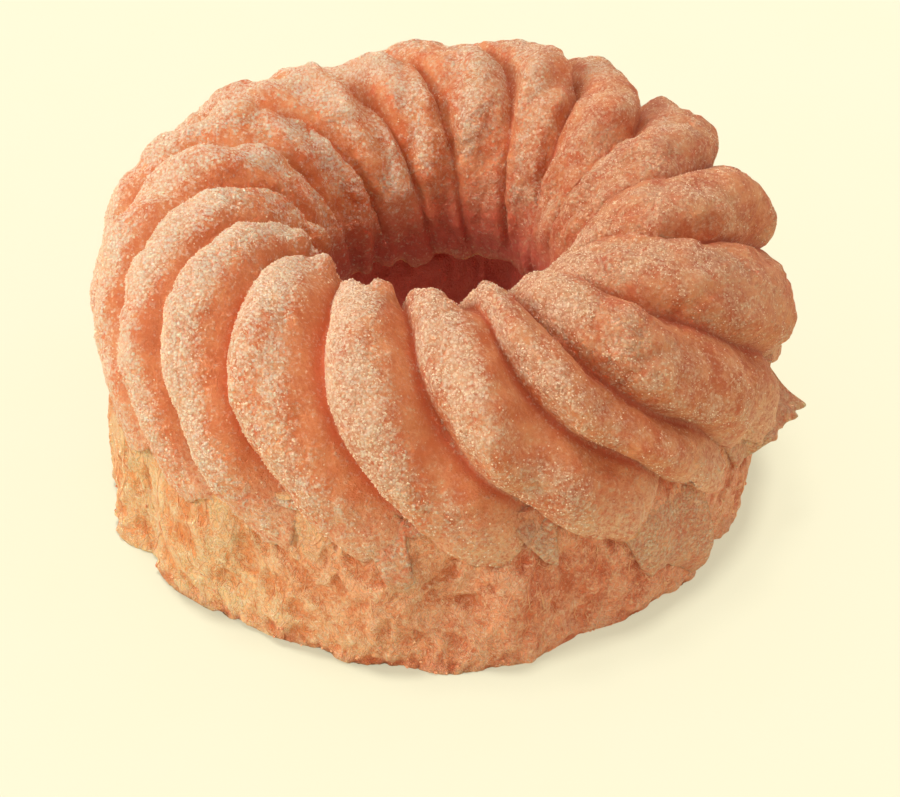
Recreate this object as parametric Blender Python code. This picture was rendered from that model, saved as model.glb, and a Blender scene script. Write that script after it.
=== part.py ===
"""A cruller: a fried ring of choux dough, piped in sweeping ridges and standing on its burst lower half.

Metres, +Z up. The origin is on the table under the middle of the ring's box, and -Y is the front.
Bearings are in degrees, anticlockwise from +X seen from above. Places along the ring's section are steps:
0 is the ring's top, 1 its widest line and -1 the narrowest line in the hole.
"""

import math

import bpy
import numpy as np

# The ring's section. Its outer side is to the right, and the ridges' crests touch this outline.
OUTER_RADIUS = 0.0430
HEIGHT = 0.0430
TOP_RADIUS = 0.64 * OUTER_RADIUS  # of the ring's highest line
THROAT_RADIUS = 0.33 * OUTER_RADIUS  # of the hole, where it is narrowest
EQUATOR_HEIGHT = 0.60 * HEIGHT  # of the widest line, and of the narrowest line in the hole
OUTER_DROP = 0.55 * HEIGHT  # half height of the ellipse that the outer side follows under the widest line
INNER_DROP = 0.35 * HEIGHT
FOOT_RADIUS = 0.930 * OUTER_RADIUS
INNER_FOOT_RADIUS = 0.42 * OUTER_RADIUS
SKIRT_TOP_RADIUS = 0.945 * OUTER_RADIUS  # of the burst lower half, where the ridges' lips cover it
INNER_SKIRT_TOP_RADIUS = 0.40 * OUTER_RADIUS
SKIRT_BULGE = 0.020 * OUTER_RADIUS  # how far it swells between the lips and the foot
LEAN_BEARING = 40  # degrees: the ring's top leans this way, and the foot stays behind
FOOT_LEAN = 0.0009
TOP_LEAN = 0.0006
TOP_TILT = 0.0007  # how much higher the top is on that side, and lower on the other

# The ridges. Ridge k runs from bearing k of this list to the next, measured on the ring's top. Hand piping
# makes them uneven.
GROOVE_BEARINGS = (2, 29, 51, 71, 95, 114, 138, 160, 181, 200, 219, 242, 264, 283, 294, 313, 338)
RIDGES = len(GROOVE_BEARINGS)
GROOVE_DEPTH = 0.0040
GROOVE_STEPS = (-1.2, -0.9, -0.4, 0.1, 0.9, 1.35)  # the grooves are this share of that depth at these steps
GROOVE_SHARES = (0.20, 0.35, 0.55, 1.0, 0.9, 0.40)
GROOVE_FADING = ((302, 0.75, 28),)  # (bearing, share, half width) where they run out before the hole
GROOVE_FADED_STEPS = (-0.35, 0.15)  # they are faded by the first of these, and whole from the second
GROOVE_FLOOR = 0.10  # width of the rounded groove floor, as a share of the ridge
RIDGE_FULLNESS = 0.60  # lower is a fuller, more square-shouldered ridge
RIM_FULLNESS = 0.45  # the same at the hole's rim
RIDGE_LEAN = 0.08  # how far the crest lies towards the lower bearing, as a share of the ridge
# How a ridge turns between the ring's top and its widest line: (bearing, degrees, evenness). Where the
# evenness is 1 it turns all the way, and where it is lower it runs straight at first and turns lower down.
OUTER_SWEEPS = (
    (2, 36, 1.0),
    (90, 33, 1.0),
    (179, 27, 0.8),
    (219, 21, 0.7),
    (263, 17, 0.45),
    (282, 21, 0.25),
    (313, 29, 0.8),
)
INNER_SWEEPS = ((0, 12), (90, 18), (180, 24), (262, 18), (290, 9), (320, 10))  # the same down into the hole
INNER_EVENNESS = 0.85
LIP_SWEEP = 46  # degrees a step that a ridge goes on turning past the widest line
INNER_LIP_SWEEP = 20  # the same past the narrowest line in the hole

# A ridge's outer end is a pointed lip over the burst dough.
LIP_STEP = 1.15
LIP_TIP_STEP = 0.13  # how much further the tip reaches
LIP_TIP_PLACE = 0.32  # where the tip is across the ridge, as a share of its width
INNER_LIP_STEP = -1.20
LIP_OVERHANG = 0.0004  # the least that a lip stands out from the burst dough under it
LIP_SHADOW = 4  # higher keeps the dents that the lips press into the burst dough nearer to them
SKIRT_CROWDING = 1.1  # over 1 sets the rows of the burst dough closer at the foot

# Knobs, where the dough swelled or the nozzle broke off: (ridge, place across it, step, height, radius).
KNOBS = (
    (2, 0.50, -0.02, 0.0012, 0.0026),
    (5, 0.35, 0.10, 0.0014, 0.0026),
    (6, 0.35, 0.10, 0.0012, 0.0026),
    (8, 0.50, -0.72, 0.0018, 0.0024),
    (9, 0.60, -0.48, 0.0012, 0.0022),
    (10, 0.65, -0.40, 0.0012, 0.0022),
    (11, 0.70, -0.30, 0.0012, 0.0022),
    (12, 0.50, -0.15, 0.0009, 0.0022),
    (0, 0.40, 0.75, 0.0010, 0.0026),
)

# Swellings and dents round the ring: (bearing, size, half width in degrees).
TOP_LOBES = ((112, -0.0013, 35),)
FOOT_LOBES = ((210, 0.0010, 12), (236, -0.0010, 9), (279, 0.0014, 8), (318, -0.0018, 24), (321, 0.0014, 5))

# Flaps of crust torn down over the burst dough: (bearing, size, half width in degrees, height, half height).
FLAPS = ((345, 0.0026, 7, 0.011, 0.005), (320, 0.0018, 6, 0.008, 0.006))

# Unevenness: (size, slowest and fastest wave round the ring, seed). The waves lean down the section.
WAVE_DRIFT = 4
RADIUS_WOBBLE = (0.0003, 2, 5, 11)
HEIGHT_WOBBLE = (0.0003, 2, 6, 12)
RIDGE_WOBBLE = (0.00035, 9, 30, 13)
SKIRT_WOBBLE = (0.0005, 5, 22, 14)
FOOT_WOBBLE = (0.0005, 9, 34, 15)
LIP_WOBBLE = (0.015, 3, 12, 16)

# The mesh. Round the ring it has the same number of columns in each ridge. Along the section its rows are
# shared among the stretches, which follow each other from the foot's outer edge, up and over, and back.
COLUMNS_PER_RIDGE = 8
ROWS = {"skirt": 5, "swirl": 20, "inner_skirt": 3, "sole": 3}

TAU = 2 * math.pi
CRUST = (0.62, 0.30, 0.13, 1.0)
CRUST_ROUGHNESS = 0.6


def wobble(bearing, shape, along=0.0):
    """A smooth uneven wave round the ring. Bearing is in radians; along shifts the wave down the section."""
    size, slowest, fastest, seed = shape
    random = np.random.RandomState(seed)
    total = np.zeros(np.broadcast(bearing, along).shape)
    for waves in range(slowest, fastest + 1):
        phase, drift = random.uniform(0, TAU), random.uniform(-1, 1)
        total += np.cos(waves * bearing + phase + WAVE_DRIFT * drift * along)
    return size * total / math.sqrt((fastest - slowest + 1) / 2)


def section(step):
    """The ring's outline at these steps: radius, height, and the outward direction as (radial, up)."""
    angle = (1 - step) * TAU / 4
    across = np.where(step > 0, OUTER_RADIUS - TOP_RADIUS, TOP_RADIUS - THROAT_RADIUS)
    drop = np.where(step > 1, OUTER_DROP, INNER_DROP)
    rise = np.where(np.abs(step) <= 1, HEIGHT - EQUATOR_HEIGHT, drop)
    radius = TOP_RADIUS + across * np.cos(angle)
    height = EQUATOR_HEIGHT + rise * np.sin(angle)
    outward = np.stack([np.cos(angle) / across, np.sin(angle) / rise], -1)
    return radius, height, outward / np.linalg.norm(outward, axis=-1, keepdims=True)


def crest_bearing(place):
    """Bearing, in radians, on the ring's top at a place counted in ridges round the ring."""
    bearings = [*GROOVE_BEARINGS, GROOVE_BEARINGS[0] + 360]
    return np.radians(np.interp(place, range(RIDGES + 1), bearings))


def sweep(bearing, step):
    """How far, in radians, a ridge has turned from the ring's top at these steps."""
    places, outer_sweeps, evennesses = np.array(OUTER_SWEEPS).T
    outer = np.interp(np.degrees(bearing), places, outer_sweeps, period=360)
    inner = np.interp(np.degrees(bearing), *np.array(INNER_SWEEPS).T, period=360)
    evenness = np.interp(np.degrees(bearing), places, evennesses, period=360)
    evenness = np.where(step > 0, evenness, INNER_EVENNESS)
    reach = np.clip(np.abs(step), 0, 1)
    turned = evenness * reach + (1 - evenness) * reach**3
    past = np.clip(np.abs(step) - 1, 0, 1)
    outwards = outer * turned + LIP_SWEEP * past
    inwards = inner * turned + INNER_LIP_SWEEP * past
    return np.radians(np.where(step > 0, outwards, -inwards))


def ridge_height(across, step):
    """Height of a ridge at a share of its width: 0 on the groove's floor and 1 on the crest."""
    leaning = across + RIDGE_LEAN * np.sin(math.pi * across) ** 2
    arch = np.sqrt(np.sin(math.pi * leaning) ** 2 + GROOVE_FLOOR**2) - GROOVE_FLOOR
    fullness = np.interp(step, GROOVE_FADED_STEPS, (RIM_FULLNESS, RIDGE_FULLNESS))
    return (arch / arch.max()) ** fullness


def groove_depth(bearing, step):
    """Depth of the grooves, which are shallower in the hole and where they run out on the burst dough."""
    faded = lobes(bearing, GROOVE_FADING) * np.interp(step, GROOVE_FADED_STEPS, (1, 0))
    return GROOVE_DEPTH * np.interp(step, GROOVE_STEPS, GROOVE_SHARES) * (1 - faded)


def lip_step(across, bearing):
    """Where the ridges end on the outer side: each end runs down to its tip and back up."""
    rise = np.interp(across, [0, LIP_TIP_PLACE, 1], [0, 1, 0])
    return LIP_STEP + LIP_TIP_STEP * rise + wobble(bearing, LIP_WOBBLE)


def plateau(distance):
    """1 near 0, falling off round a distance of 1."""
    return np.exp(-(distance**4))


def knob_height(points):
    """How far the knobs lift the ridged dough at these points."""
    lift = np.zeros(points.shape[:-1])
    for ridge, across, step, height, radius in KNOBS:
        place = np.array([ridge + across])
        bearing = crest_bearing(place)
        bearing = bearing + sweep(bearing, np.array([step]))
        ring_radius, level, _ = section(np.array([step]))
        centre = np.array([ring_radius * np.cos(bearing), ring_radius * np.sin(bearing), level]).T
        distance = np.linalg.norm(points - centre, axis=-1)
        lift += height * plateau(distance / radius)
    return lift


def ring_points(radius, bearing, height):
    return np.stack([radius * np.cos(bearing), radius * np.sin(bearing), height], -1)


def swirl_rows(place, share):
    """The ridged dough, from the outer lip at share 0, over the top, to the inner lip at share 1."""
    start = crest_bearing(place)
    across = place % 1
    end = lip_step(across, start)
    step = end + (INNER_LIP_STEP - end) * share
    bearing = start + sweep(start, step)
    radius, height, outward = section(step)
    cut = groove_depth(start, step) * (1 - ridge_height(across, step))
    lift = knob_height(ring_points(radius, bearing, height)) - cut + wobble(bearing, RIDGE_WOBBLE, step)
    leaning = np.cos(bearing - math.radians(LEAN_BEARING))
    rise = TOP_TILT * leaning + lobes(bearing, TOP_LOBES) + wobble(bearing, HEIGHT_WOBBLE)
    radius = radius + lift * outward[..., 0] + TOP_LEAN * leaning + wobble(bearing, RADIUS_WOBBLE)
    height = height + lift * outward[..., 1] + rise * height / HEIGHT
    return ring_points(radius, bearing, height)


def hump(bearing, middle, half_width):
    """1 at the middle bearing, falling smoothly to 0 on both sides of it."""
    off = (np.degrees(bearing) - middle + 180) % 360 - 180
    return np.exp(-((off / half_width) ** 2))


def lobes(bearing, shapes):
    return sum(size * hump(bearing, middle, half_width) for middle, size, half_width in shapes)


def skirt_rows(edge, foot_bearing, share, side):
    """The burst dough, from the foot at share 0 to under the lip at share 1. Side is 1 outside, -1 inside."""
    edge_radius = np.hypot(edge[..., 0], edge[..., 1])
    edge_bearing = np.arctan2(edge[..., 1], edge[..., 0])
    turn = (edge_bearing - foot_bearing + math.pi) % TAU - math.pi
    bearing = foot_bearing + turn * share
    outside = side > 0
    foot_radius = FOOT_RADIUS if outside else INNER_FOOT_RADIUS
    top_radius = SKIRT_TOP_RADIUS if outside else INNER_SKIRT_TOP_RADIUS
    leaning = np.cos(bearing - math.radians(LEAN_BEARING))
    foot = foot_radius - FOOT_LEAN * leaning + wobble(bearing, FOOT_WOBBLE)
    foot = foot + (lobes(bearing, FOOT_LOBES) if outside else 0)
    top = top_radius + TOP_LEAN * leaning
    pressed = side * np.minimum(0, side * (edge_radius - top) - LIP_OVERHANG)
    swell = np.sin(math.pi * share) * ((SKIRT_BULGE if outside else 0) + wobble(bearing, SKIRT_WOBBLE, share))
    level = edge[..., 2] * share**SKIRT_CROWDING
    for middle, size, half_width, height, half_height in FLAPS if outside else ():
        swell = swell + size * hump(bearing, middle, half_width) * plateau((level - height) / half_height)
    return ring_points(foot + (top - foot) * share + pressed * share**LIP_SHADOW + swell, bearing, level)


def dough_surface(columns_per_ridge, rows):
    """The whole surface as points, one row of the array for each column round the ring."""
    columns = RIDGES * columns_per_ridge
    place = (np.arange(columns) / columns_per_ridge)[:, None]

    def shares(stretch, closed=False):
        return (np.arange(rows[stretch] + closed) / rows[stretch])[None, :]

    start = crest_bearing(place)
    foot_bearing = start + sweep(start, LIP_STEP + LIP_TIP_STEP / 2)
    inner_foot_bearing = start + sweep(start, INNER_LIP_STEP)
    swirl = swirl_rows(place, shares("swirl", closed=True))
    skirt = skirt_rows(swirl[:, :1], foot_bearing, shares("skirt", closed=True), 1)
    inner_skirt = skirt_rows(swirl[:, -1:], inner_foot_bearing, 1 - shares("inner_skirt", closed=True), -1)

    # The sole carries the columns back from the inner foot to the outer one, flat on the table.
    across = shares("sole")[:, 1:]
    inner, outer = (np.hypot(foot[..., 0], foot[..., 1]) for foot in (inner_skirt[:, -1:], skirt[:, :1]))
    turning = inner_foot_bearing + (foot_bearing - inner_foot_bearing) * across
    sole = ring_points(inner + (outer - inner) * across, turning, 0 * turning)
    return np.concatenate([skirt, swirl, inner_skirt, sole], 1)


def box_middle(points):
    """The middle of the points' box, on the table."""
    middle = (points.min((0, 1)) + points.max((0, 1))) / 2
    return middle * [1, 1, 0]


def crust_material():
    material = bpy.data.materials.new("crust")
    material.use_nodes = True
    shader = material.node_tree.nodes["Principled BSDF"]
    shader.inputs["Base Color"].default_value = CRUST
    shader.inputs["Roughness"].default_value = CRUST_ROUGHNESS
    shader.inputs["Metallic"].default_value = 0.0
    return material


def make_cruller():
    """A torus reshaped, point by point, into the dough."""
    points = dough_surface(COLUMNS_PER_RIDGE, ROWS)
    points -= box_middle(points)
    columns, rows, _ = points.shape
    bpy.ops.mesh.primitive_torus_add(
        major_segments=columns,
        minor_segments=rows,
        major_radius=TOP_RADIUS,
        minor_radius=HEIGHT / 2,
    )
    cruller = bpy.context.object
    cruller.name = cruller.data.name = "cruller"
    cruller.data.vertices.foreach_set("co", points.ravel())
    cruller.data.shade_smooth()
    cruller.data.materials.append(crust_material())
    cruller.data.update()
    return cruller


def main():
    for old in list(bpy.data.objects):
        bpy.data.objects.remove(old)
    collection = bpy.data.collections.new("cruller_doughnut")
    bpy.context.scene.collection.children.link(collection)
    cruller = make_cruller()
    for holder in list(cruller.users_collection):
        holder.objects.unlink(cruller)
    collection.objects.link(cruller)


main()
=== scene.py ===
"""The looks of a cruller doughnut: its sugared crust, torn dough and crumbs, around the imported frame.

Metres, +Z up, in the frame's own place: the ring stands on z = 0, and -Y is the front. Bearings run
anticlockwise from +X seen from above, in degrees in the named values and in radians in the functions.
Places along the ring's section are steps: 0 is the ring's top, 1 its widest line and -1 the narrowest line
in the hole. Places across a ridge are shares of its width.
"""

import math

import bmesh
import bpy
import numpy as np
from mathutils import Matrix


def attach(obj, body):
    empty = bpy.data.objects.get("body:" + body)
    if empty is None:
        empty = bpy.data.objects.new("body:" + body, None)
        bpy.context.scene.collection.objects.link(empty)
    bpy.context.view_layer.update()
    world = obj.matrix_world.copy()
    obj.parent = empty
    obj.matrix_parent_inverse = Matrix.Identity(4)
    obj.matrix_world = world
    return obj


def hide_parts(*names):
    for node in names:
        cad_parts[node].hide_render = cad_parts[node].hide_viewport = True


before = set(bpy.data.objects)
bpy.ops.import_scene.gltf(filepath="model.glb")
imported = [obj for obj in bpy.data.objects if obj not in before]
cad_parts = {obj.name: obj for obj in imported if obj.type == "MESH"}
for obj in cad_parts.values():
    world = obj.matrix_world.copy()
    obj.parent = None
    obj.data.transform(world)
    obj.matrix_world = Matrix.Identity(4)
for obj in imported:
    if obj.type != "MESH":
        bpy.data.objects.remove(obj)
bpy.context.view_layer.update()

TAU = 2 * math.pi

# ----
# The dough's form: the solid's own section, bearings and sweeps. Its grooves and foot are a little finer.

OUTER_RADIUS = 0.0430
HEIGHT = 0.0430
TOP_RADIUS = 0.64 * OUTER_RADIUS  # of the ring's highest line
THROAT_RADIUS = 0.33 * OUTER_RADIUS  # of the hole, where it is narrowest
EQUATOR_HEIGHT = 0.60 * HEIGHT  # of the widest line, and of the narrowest line in the hole
OUTER_DROP = 0.55 * HEIGHT  # half height of the outer side's ellipse under the widest line
INNER_DROP = 0.35 * HEIGHT
FOOT_RADIUS = 0.930 * OUTER_RADIUS
INNER_FOOT_RADIUS = 0.42 * OUTER_RADIUS
SKIRT_TOP_RADIUS = 0.945 * OUTER_RADIUS  # of the burst lower half, where the ridges' lips cover it
INNER_SKIRT_TOP_RADIUS = 0.40 * OUTER_RADIUS
SKIRT_BULGE = 0.020 * OUTER_RADIUS  # how far it swells between the lips and the foot
LEAN_BEARING = 40  # the ring's top leans this way, and the foot stays behind
FOOT_LEAN = 0.0009
TOP_LEAN = 0.0006
TOP_TILT = 0.0007  # how much higher the top is on that side, and lower on the other
MIDDLE = (0.00025, 0.00025)  # of the box of the ring that these functions make

# The ridges. Ridge k runs from bearing k of this list to the next, measured on the ring's top.
GROOVE_BEARINGS = (2, 29, 51, 71, 95, 114, 138, 160, 181, 200, 219, 242, 264, 283, 294, 313, 338)
RIDGES = len(GROOVE_BEARINGS)
GROOVE_DEPTH = 0.0042
GROOVE_STEPS = (-1.2, -0.9, -0.4, 0.1, 0.9, 1.35)  # the grooves are this share of that depth at these steps
GROOVE_SHARES = (0.06, 0.17, 0.50, 1.0, 0.9, 0.40)
GROOVE_FADING = ((302, 0.75, 28),)  # (bearing, share, half width) where they run out before the hole
GROOVE_FADED_STEPS = (-0.35, 0.15)  # faded by the first, and whole from the second
GROOVE_FLOOR = 0.10  # width of the rounded groove floor, as a share of the ridge
OPEN_BEARING = 215  # the ridges gape widest here, and lie closest on the other side
RIDGE_FULLNESS = (0.52, 0.86)  # on the close side and on the open side; lower is more square-shouldered
RIM_FULLNESS = 0.45  # the same at the hole's rim
CLOSE_SHALLOWNESS = 0.06  # how much shallower the grooves are on the close side
CREST_PLACES = (0.48, 0.37)  # of a ridge's crest across it, on the same sides
ROLL = 0.0008  # how far a ridge's steeper edge rolls over the groove

# How a ridge turns from the ring's top to its widest line: (bearing, degrees, evenness). Where the evenness
# is low, it runs straight at first and turns lower down.
OUTER_SWEEPS = (
    (2, 36, 1.0), (90, 33, 1.0), (179, 27, 0.8), (219, 21, 0.7), (263, 17, 0.45), (282, 21, 0.25),
    (313, 29, 0.8),
)
INNER_SWEEPS = ((0, 12), (90, 18), (180, 24), (262, 18), (290, 9), (320, 10))  # the same down into the hole
INNER_EVENNESS = 0.85
LIP_SWEEP = 46  # degrees a step past the widest line
INNER_LIP_SWEEP = 20  # the same past the narrowest line

# A ridge's outer end is a pointed lip over the burst dough.
LIP_STEP = 1.15
LIP_TIP_STEP = 0.13  # how much further the tip reaches
LIP_TIP_PLACE = 0.32  # where the tip is across the ridge
INNER_LIP_STEP = -1.20

# Knobs, where the dough swelled or the nozzle broke off: (ridge, place across it, step, height, radius).
KNOBS = (
    (2, 0.50, -0.02, 0.0012, 0.0026), (5, 0.35, 0.10, 0.0014, 0.0026),
    (6, 0.35, 0.10, 0.0012, 0.0026), (8, 0.50, -0.72, 0.0018, 0.0020),
    (9, 0.60, -0.48, 0.0014, 0.0017), (10, 0.65, -0.40, 0.0014, 0.0017),
    (11, 0.70, -0.30, 0.0012, 0.0017), (12, 0.50, -0.15, 0.0009, 0.0018),
    (0, 0.40, 0.75, 0.0010, 0.0026),
)

# Swellings and dents round the ring: (bearing, size, half width in degrees).
TOP_LOBES = ((112, -0.0013, 35),)
FOOT_LOBES = (
    (201, 0.0018, 6), (210, -0.0015, 3), (218, 0.0006, 5), (236, -0.0008, 9), (279, 0.0014, 8),
    (318, -0.0018, 24), (321, 0.0014, 5), (92, 0.0010, 9), (138, -0.0009, 4),
)

# Unevenness: (size, slowest and fastest wave round the ring, seed). The waves lean down the section.
WAVE_DRIFT = 4
RADIUS_WOBBLE = (0.0003, 2, 5, 11)
HEIGHT_WOBBLE = (0.0003, 2, 6, 12)
RIDGE_WOBBLE = (0.00035, 9, 30, 13)
SKIRT_WOBBLE = (0.0005, 5, 22, 14)
FOOT_WOBBLE = (0.0004, 7, 26, 15)
LIP_WOBBLE = (0.015, 3, 12, 16)

# The meshes' columns round the ring, and their rows down each stretch of the section.
CRUST_COLUMNS = 34 * RIDGES
CRUST_ROWS = 164
SKIRT_COLUMNS = 900
SKIRT_ROWS = 62
INNER_ROWS = 24
SOLE_ROWS = 6


def wobble(bearing, shape, along=0.0):
    """A smooth uneven wave round the ring; along shifts the wave down the section."""
    size, slowest, fastest, seed = shape
    random = np.random.RandomState(seed)
    total = np.zeros(np.broadcast(bearing, along).shape)
    for waves in range(slowest, fastest + 1):
        phase = random.uniform(0, TAU)
        drift = random.uniform(-1, 1)
        total += np.cos(waves * bearing + phase + WAVE_DRIFT * drift * along)
    return size * total / math.sqrt((fastest - slowest + 1) / 2)


def section(step):
    """The ring's outline at these steps: radius, height, and the outward direction as (radial, up)."""
    angle = (1 - step) * TAU / 4
    across = np.where(step > 0, OUTER_RADIUS - TOP_RADIUS, TOP_RADIUS - THROAT_RADIUS)
    drop = np.where(step > 1, OUTER_DROP, INNER_DROP)
    rise = np.where(np.abs(step) <= 1, HEIGHT - EQUATOR_HEIGHT, drop)
    radius = TOP_RADIUS + across * np.cos(angle)
    height = EQUATOR_HEIGHT + rise * np.sin(angle)
    outward = np.stack([np.cos(angle) / across, np.sin(angle) / rise], -1)
    return radius, height, outward / np.linalg.norm(outward, axis=-1, keepdims=True)


def crest_bearing(place):
    """Bearing on the ring's top at a place counted in ridges round the ring."""
    bearings = [*GROOVE_BEARINGS, GROOVE_BEARINGS[0] + 360]
    return np.radians(np.interp(place, range(RIDGES + 1), bearings))


def sweep(bearing, step):
    """How far a ridge has turned from the ring's top at these steps."""
    places, outer_sweeps, evennesses = np.array(OUTER_SWEEPS).T
    outer = np.interp(np.degrees(bearing), places, outer_sweeps, period=360)
    inner = np.interp(np.degrees(bearing), *np.array(INNER_SWEEPS).T, period=360)
    evenness = np.interp(np.degrees(bearing), places, evennesses, period=360)
    evenness = np.where(step > 0, evenness, INNER_EVENNESS)
    reach = np.clip(np.abs(step), 0, 1)
    turned = evenness * reach + (1 - evenness) * reach**3
    past = np.clip(np.abs(step) - 1, 0, 1)
    outwards = outer * turned + LIP_SWEEP * past
    inwards = inner * turned + INNER_LIP_SWEEP * past
    return np.radians(np.where(step > 0, outwards, -inwards))


def openness(bearing):
    """1 on the side where the ridges gape, falling to 0 on the far side."""
    return 0.5 + 0.5 * np.cos(bearing - math.radians(OPEN_BEARING))


def far_side_shade(bearing):
    """Painted shade away from the key light: 0 on the palest side of the ring, 1 on the other."""
    return 0.5 + 0.5 * np.cos(bearing - math.radians(SHADED_BEARING))


def ridge_height(across, step, bearing):
    """Height of a ridge at a share of its width: 0 on the groove's floor and 1 on the crest."""
    crest_place = np.interp(openness(bearing), (0, 1), CREST_PLACES)
    leaning = across ** (math.log(0.5) / np.log(crest_place))
    arch = np.sqrt(np.sin(math.pi * leaning) ** 2 + GROOVE_FLOOR**2) - GROOVE_FLOOR
    fullness = np.interp(openness(bearing), (0, 1), RIDGE_FULLNESS)
    at_rim = np.interp(step, GROOVE_FADED_STEPS, (1, 0))
    fullness = fullness + (RIM_FULLNESS - fullness) * at_rim
    return (arch / (math.sqrt(1 + GROOVE_FLOOR**2) - GROOVE_FLOOR)) ** fullness


def groove_depth(bearing, step):
    """Depth of the grooves, which are shallower in the hole and where they run out on the burst dough."""
    faded = lobes(bearing, GROOVE_FADING) * np.interp(step, GROOVE_FADED_STEPS, (1, 0))
    closeness = 1 - CLOSE_SHALLOWNESS * (1 - openness(bearing))
    return GROOVE_DEPTH * np.interp(step, GROOVE_STEPS, GROOVE_SHARES) * (1 - faded) * closeness


def lip_step(across, bearing):
    """Where the ridges end on the outer side: each end runs down to its tip and back up."""
    rise = np.interp(across, [0, LIP_TIP_PLACE, 1], [0, 1, 0])
    return LIP_STEP + LIP_TIP_STEP * rise + wobble(bearing, LIP_WOBBLE)


def plateau(distance):
    """1 near 0, falling off round a distance of 1."""
    return np.exp(-(distance**4))


def hump(bearing, middle, half_width):
    """1 at the middle bearing, falling smoothly to 0 on both sides of it. Both are in degrees."""
    off = (np.degrees(bearing) - middle + 180) % 360 - 180
    return np.exp(-((off / half_width) ** 2))


def lobes(bearing, shapes):
    """The sum of these swellings and dents, (bearing, size, half width in degrees), at a bearing."""
    return sum(size * hump(bearing, middle, half_width) for middle, size, half_width in shapes)


def knob_height(points):
    """How far the knobs lift the ridged dough at these points."""
    lift = np.zeros(points.shape[:-1])
    for ridge, across, step, height, radius in KNOBS:
        place = np.array([ridge + across])
        bearing = crest_bearing(place)
        bearing = bearing + sweep(bearing, np.array([step]))
        ring_radius, level, _ = section(np.array([step]))
        centre = np.array([ring_radius * np.cos(bearing), ring_radius * np.sin(bearing), level]).T
        distance = np.linalg.norm(points - centre, axis=-1)
        lift += height * plateau(distance / radius)
    return lift


def ring_points(radius, bearing, height):
    """Points round the ring's axis, from arrays or numbers that are stretched to one shape."""
    radius, bearing, height = np.broadcast_arrays(radius, bearing, height)
    return np.stack([radius * np.cos(bearing), radius * np.sin(bearing), height], -1)


def swirl(place, share):
    """The ridged dough from the outer lip at share 0, over the top, to the inner lip at share 1.

    Place is counted in ridges round the ring. Returns points, their steps and the ridges' heights there.
    """
    start = crest_bearing(place)
    across = place % 1
    end = lip_step(across, start)
    step = end + (INNER_LIP_STEP - end) * share
    bearing = start + sweep(start, step)
    radius, height, outward = section(step)
    crest = ridge_height(across, step, start)
    depth = groove_depth(start, step)
    lift = knob_height(ring_points(radius, bearing, height)) + wobble(bearing, RIDGE_WOBBLE, step)
    lift = lift - depth * (1 - crest)
    leaning = np.cos(bearing - math.radians(LEAN_BEARING))
    rise = TOP_TILT * leaning + lobes(bearing, TOP_LOBES) + wobble(bearing, HEIGHT_WOBBLE)
    radius = radius + lift * outward[..., 0] + TOP_LEAN * leaning + wobble(bearing, RADIUS_WOBBLE)
    height = height + lift * outward[..., 1] + rise * height / HEIGHT
    rolled = ROLL * depth / GROOVE_DEPTH * np.sin(math.pi * across) * (1 - across) * crest
    return ring_points(radius, bearing - rolled / radius, height), step, crest


def skirt(bearing, share, side):
    """The burst dough from the foot at share 0 to under the lips at 1. Side is 1 outside, -1 inside."""
    outside = side > 0
    foot_radius = FOOT_RADIUS if outside else INNER_FOOT_RADIUS
    top_radius = SKIRT_TOP_RADIUS if outside else INNER_SKIRT_TOP_RADIUS
    bulge = SKIRT_BULGE if outside else 0
    leaning = np.cos(bearing - math.radians(LEAN_BEARING))
    foot = foot_radius - FOOT_LEAN * leaning + wobble(bearing, FOOT_WOBBLE)
    foot = foot + (lobes(bearing, FOOT_LOBES) if outside else 0)
    top = top_radius + TOP_LEAN * leaning - TUCK * side
    swell = np.sin(math.pi * share) * (bulge + wobble(bearing, SKIRT_WOBBLE, share))
    level = (SKIRT_TOP_HEIGHT if outside else INNER_SKIRT_TOP_HEIGHT) * share
    return ring_points(foot + (top - foot) * share + swell, bearing, level)


# ----
# Relief: noise in the dough's own space, so that it runs on across pieces.


HASH_FACTORS = (0x9E3779B1, 0x85EBCA77, 0xC2B2AE3D)  # large odd numbers, one for each axis
HASH_STIRRER = 0x27D4EB2F
HASH_SHIFT = 15
HASH_TOP = 0xFFFFFF


def lattice_value(cell, seed):
    """A fixed random value from 0 to 1 for each whole-numbered cell."""
    stirred = np.full(cell.shape[:-1], seed, np.uint32)
    for axis, factor in enumerate(HASH_FACTORS):
        stirred = stirred ^ (cell[..., axis].astype(np.uint32) * np.uint32(factor))
        stirred = stirred * np.uint32(HASH_STIRRER)
        stirred ^= stirred >> np.uint32(HASH_SHIFT)
    return (stirred & np.uint32(HASH_TOP)) / float(HASH_TOP)


def noise(points, size, seed):
    """Smooth noise from -1 to 1 with lumps of this size, which may be (x, y, z) sizes."""
    scaled = points / np.array(size)
    low = np.floor(scaled)
    share = scaled - low
    share = share**3 * (share * (share * 6 - 15) + 10)
    low = low.astype(np.int64)
    total = np.zeros(points.shape[:-1])
    for corner in np.ndindex(2, 2, 2):
        weight = np.prod(np.where(corner, share, 1 - share), axis=-1)
        total += weight * lattice_value(low + corner, seed)
    return 2 * total - 1


def fractal(points, size, seed, octaves=3):
    """Noise with finer and finer lumps, each half the size and half the height of the last."""
    total = sum(noise(points, np.array(size) / 2**k, seed + k) / 2**k for k in range(octaves))
    return total / sum(0.5**k for k in range(octaves))


BUBBLE_RADIUS = 0.45  # of the smallest swelling, as a share of its cell; the largest is twice that


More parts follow.
